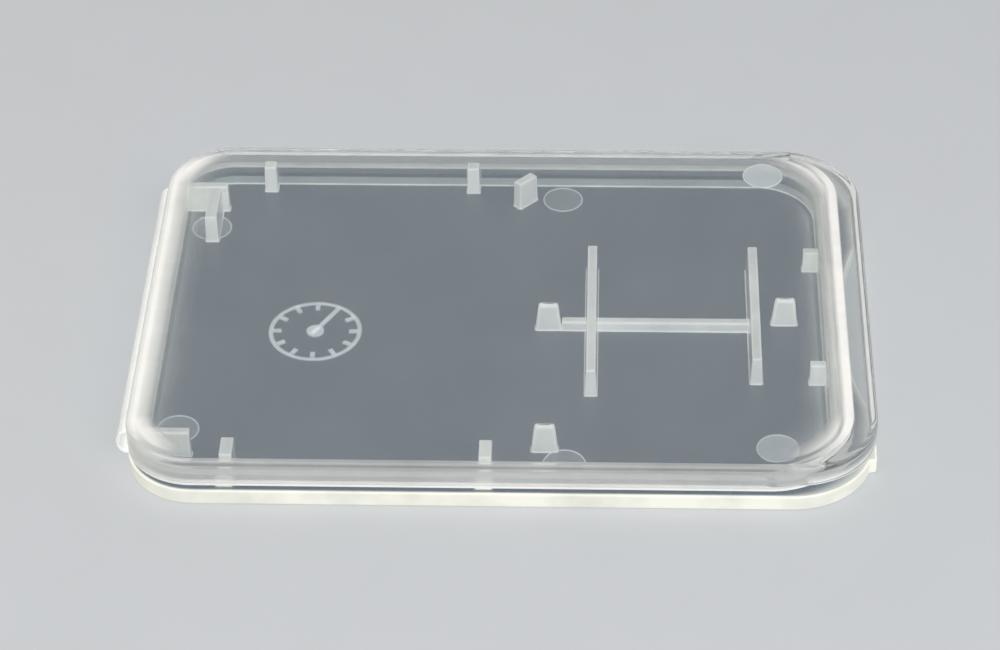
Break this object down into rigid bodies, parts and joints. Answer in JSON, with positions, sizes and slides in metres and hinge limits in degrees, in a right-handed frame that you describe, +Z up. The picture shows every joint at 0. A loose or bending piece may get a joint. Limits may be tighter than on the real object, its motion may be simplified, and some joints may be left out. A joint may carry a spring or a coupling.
{
  "type": "memory card case",
  "caption": "Flat hinged translucent case with rounded corners and a thumb lip, with ribbed bays inside for a full-size and a micro memory card.",
  "frame": {"origin": "middle of the case's footprint on its underside, with the case closed", "axes": "+X from the hinge web to the thumb lip, +Y along the hinge, +Z up through the lid"},
  "size_m": [0.0544, 0.038, 0.004],
  "materials": {
    "clear_plate": "natural polypropylene, 0.8 mm thick, see-through with a slight haze",
    "milky_wall": "natural polypropylene seen edge-on, milky white",
    "milky_rib": "natural polypropylene, milky grey"
  },
  "bodies": {
    "base": {"base_floor": "clear_plate", "base_rim_wall": "milky_wall", "base_hinge_leaf": "milky_wall", "card_heel_ribs": "milky_rib", "card_heel_spur": "milky_rib", "card_side_ribs": "milky_rib", "card_stop_pegs": "milky_rib", "card_corner_rib": "milky_rib", "micro_card_cradle": "milky_rib", "lid_rest_post": "milky_rib", "front_wall_stays": "milky_rib", "latch_ridge": "milky_wall", "mould_dial": "milky_rib"},
    "lid": {"lid_cover": "clear_plate", "lid_skirt": "milky_wall", "lid_lip_rim": "milky_wall", "lid_hinge_leaf": "milky_wall"}
  },
  "joints": [
    {"name": "lid_hinge", "type": "hinge", "parent": "base", "child": "lid", "pos_m": [-0.027, 0, 0.002], "axis": [0, -1, 0], "range_deg": [0, 180]}
  ]
}
